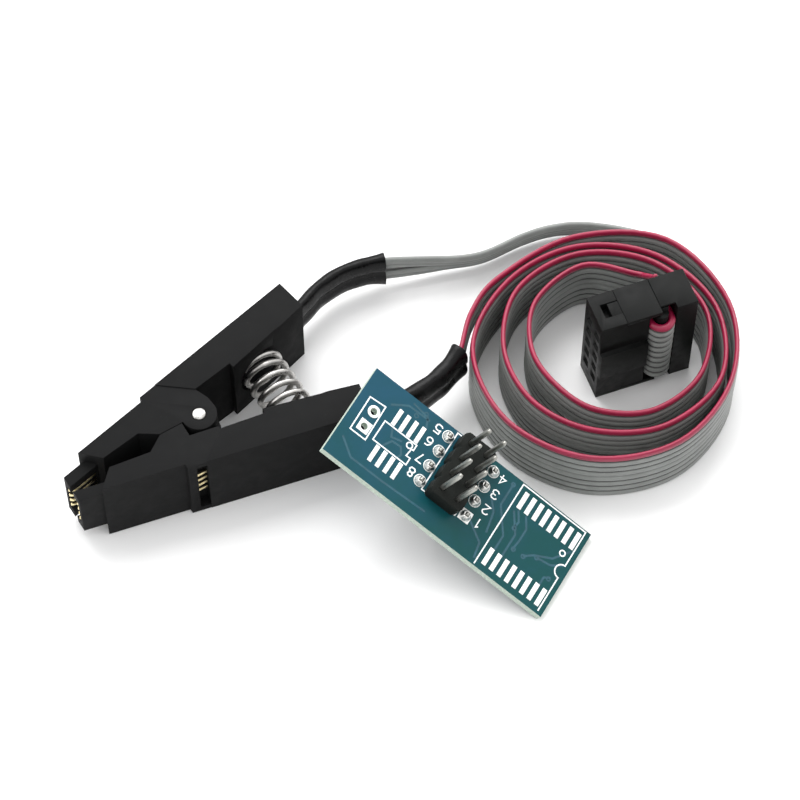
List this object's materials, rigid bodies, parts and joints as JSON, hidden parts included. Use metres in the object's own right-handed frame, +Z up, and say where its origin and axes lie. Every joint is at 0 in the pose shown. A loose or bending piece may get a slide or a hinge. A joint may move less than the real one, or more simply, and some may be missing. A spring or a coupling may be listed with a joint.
{
  "type": "ic test clip",
  "caption": "Sprung test clip for a small-outline chip, with a coiled flat cable, a pin-header socket and a small adapter board.",
  "frame": {"origin": "on the pivot pin's axis, level with the table that the clip lies on", "axes": "+X along the clip from its nose towards its handles, +Y towards the jaw that opens, +Z up along the pivot pin"},
  "size_m": [0.0913, 0.0576, 0.0182],
  "materials": {
    "clip_plastic": "fine moulded satin black",
    "socket_plastic": "moulded satin black, sharper edges",
    "shrink_sleeve": "wrinkled glossy heat-shrink",
    "cable_pvc": "grey satin insulation with a crimson edge conductor",
    "spring_steel": "drawn wire",
    "pin_steel": "turned, lightly worn",
    "contact_gold": "gold-plated spring contacts",
    "pin_tin": "tinned square pins",
    "solder": "bright solder",
    "board_blue": "blue-green solder mask over copper",
    "board_pads": "tinned pads"
  },
  "bodies": {
    "lower_half": {"lower_jaw": "clip_plastic", "lower_cover": "clip_plastic", "lower_contacts": "contact_gold", "lower_solder": "solder", "lower_wires": "cable_pvc", "lower_sleeve": "shrink_sleeve", "lower_lead": "cable_pvc", "pivot_pin": "pin_steel", "spring": "spring_steel", "upper_sleeve": "shrink_sleeve", "upper_lead": "cable_pvc", "ribbon_cable": "cable_pvc", "ribbon_fold": "cable_pvc", "socket_body": "socket_plastic", "socket_cover": "socket_plastic", "strain_relief": "socket_plastic", "socket_contacts": "contact_gold"},
    "upper_half": {"upper_jaw": "clip_plastic", "upper_cover": "clip_plastic", "upper_contacts": "contact_gold", "upper_solder": "solder", "upper_wires": "cable_pvc"},
    "adapter": {"adapter_board": "board_blue", "adapter_pads": "board_pads", "header_bar": "socket_plastic", "header_posts": "pin_tin", "header_solder": "solder", "leg_bars": "socket_plastic", "leg_posts": "pin_tin", "leg_solder": "solder"}
  },
  "joints": [
    {"name": "jaw_hinge", "type": "hinge", "parent": "lower_half", "child": "upper_half", "pos_m": [0, 0, 0.0062], "axis": [0, 0, -1], "range_deg": [0, 22], "stiffness_Nm_per_rad": 0.2, "springref_deg": -11.46, "deforming": ["spring", "upper_sleeve", "upper_lead"]},
    {"name": "adapter_lift", "type": "slide", "parent": "lower_half", "child": "adapter", "axis": [0, 0, 1], "range_m": [0, 0.04]}
  ]
}
